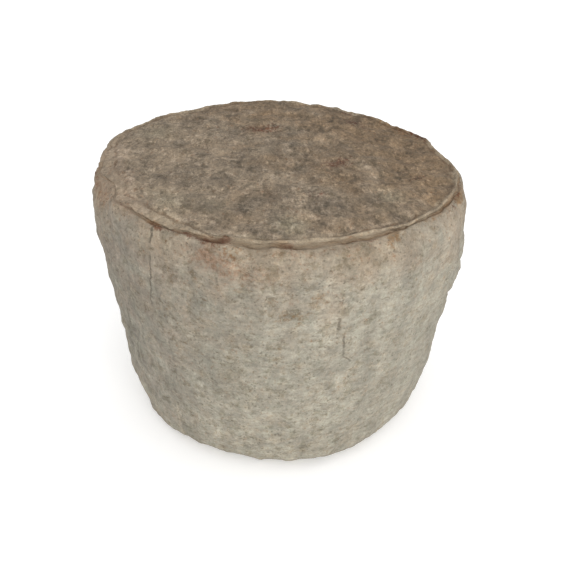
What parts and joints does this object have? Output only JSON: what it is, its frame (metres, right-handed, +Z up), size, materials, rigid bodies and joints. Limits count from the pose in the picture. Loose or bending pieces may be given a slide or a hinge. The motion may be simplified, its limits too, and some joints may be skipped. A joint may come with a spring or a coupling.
{
  "type": "cheese wheel",
  "caption": "Tall drum-shaped whole cheese wheel with a mottled natural rind, a raised lip round its flat top and sides that taper to a rounded foot.",
  "frame": {"origin": "middle of the wheel's box at its foot, on the surface that it stands on", "axes": "+Z up through the wheel's middle, -Y towards the side that the picture shows, +X to that view's right"},
  "size_m": [0.217, 0.2276, 0.1573],
  "materials": {
    "rind": "dry, rough natural cheese rind: grey-beige side with pale mould bloom, browner mottled top, rusty brown stains along the crease under the lip"
  },
  "bodies": {
    "root": {"cheese_wheel": "rind"}
  },
  "joints": []
}
